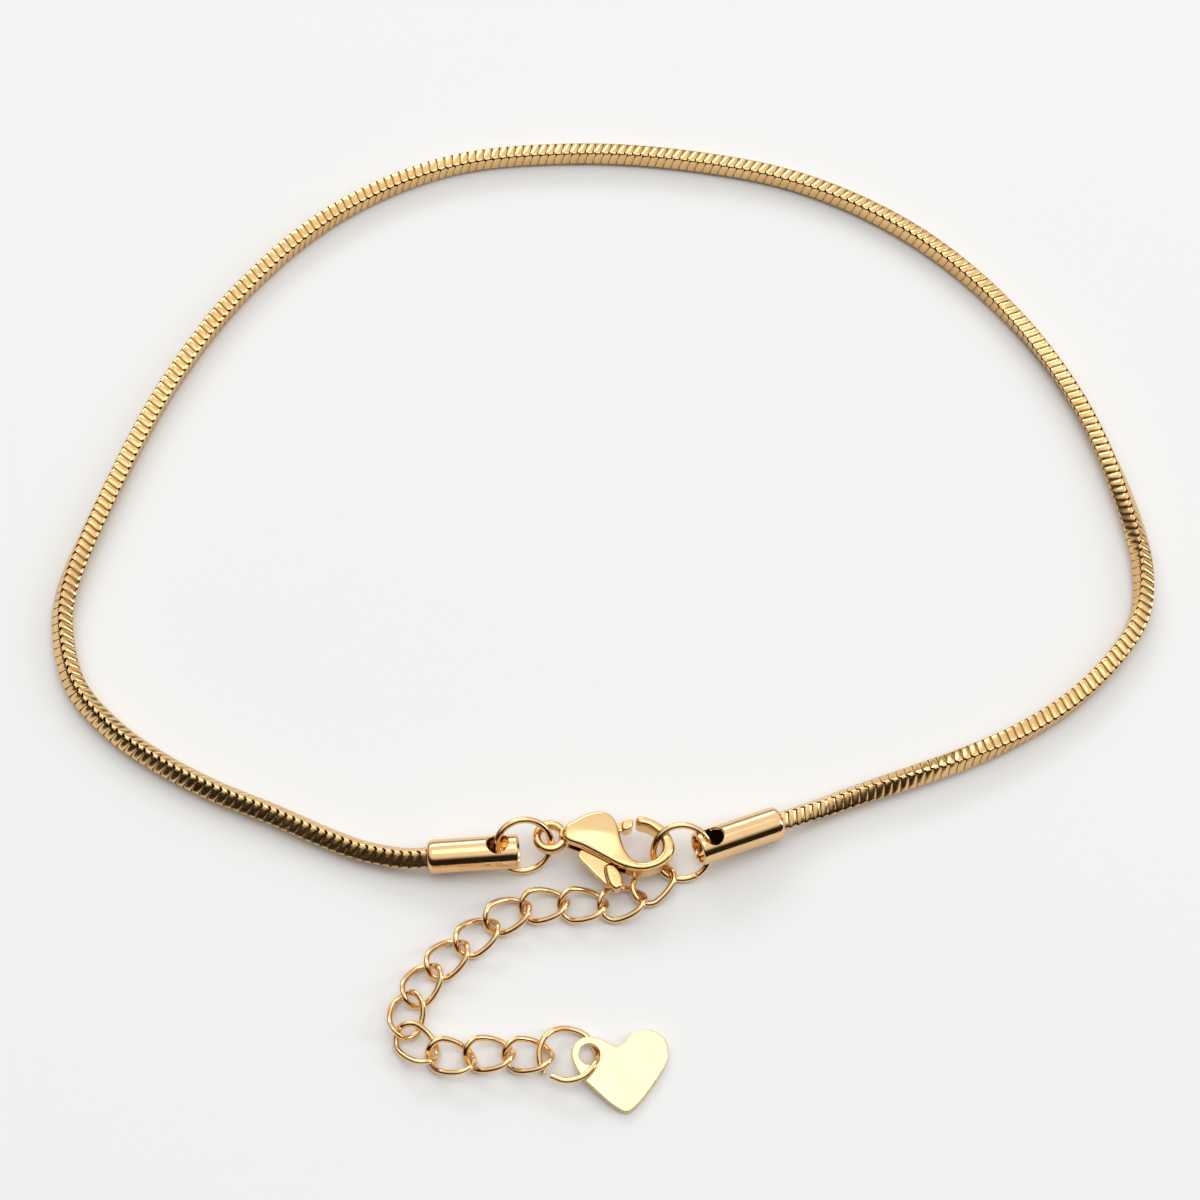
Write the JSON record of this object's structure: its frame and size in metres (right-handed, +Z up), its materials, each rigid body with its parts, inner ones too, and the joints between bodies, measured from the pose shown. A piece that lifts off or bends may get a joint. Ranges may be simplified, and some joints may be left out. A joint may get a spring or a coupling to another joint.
{
  "type": "chain anklet",
  "caption": "Gold-coloured square snake chain anklet lying open, with tubular end caps, jump rings, a lobster clasp, a twisted-link extender and a heart tag.",
  "frame": {"origin": "middle of the anklet's outline, on the surface it lies on", "axes": "+Z up from the surface; -Y towards the clasp and extender; +X to the right with the clasp nearest the viewer"},
  "size_m": [0.0835, 0.0823, 0.0035],
  "materials": {
    "chain_gold": "gold-coloured plating over fine bent plates, semi-bright",
    "polished_gold": "polished gold-coloured plating",
    "clasp_gold": "tumbled gold-coloured plating",
    "tag_gold": "smooth pale gold-coloured plating"
  },
  "bodies": {
    "anklet": {"snake_chain": "chain_gold", "end_cap_left": "polished_gold", "end_cap_right": "polished_gold", "jump_ring_left": "polished_gold", "jump_ring_right": "polished_gold", "clasp_body": "clasp_gold", "extender_link_01": "polished_gold", "extender_link_02": "polished_gold", "extender_link_03": "polished_gold", "extender_link_04": "polished_gold", "extender_link_05": "polished_gold", "extender_link_06": "polished_gold", "extender_link_07": "polished_gold", "extender_link_08": "polished_gold", "extender_link_09": "polished_gold", "extender_link_10": "polished_gold", "extender_link_11": "polished_gold", "extender_link_12": "polished_gold", "extender_link_13": "polished_gold", "tail_ring": "polished_gold", "heart_tag": "tag_gold"},
    "lever": {"clasp_lever": "clasp_gold"}
  },
  "joints": [
    {"name": "clasp_lever_hinge", "type": "hinge", "parent": "anklet", "child": "lever", "pos_m": [0.00085, -0.0201, 0.0018], "axis": [0, 0, -1], "range_deg": [0, 22], "stiffness_Nm_per_rad": 0.002, "springref_deg": -20.05}
  ]
}
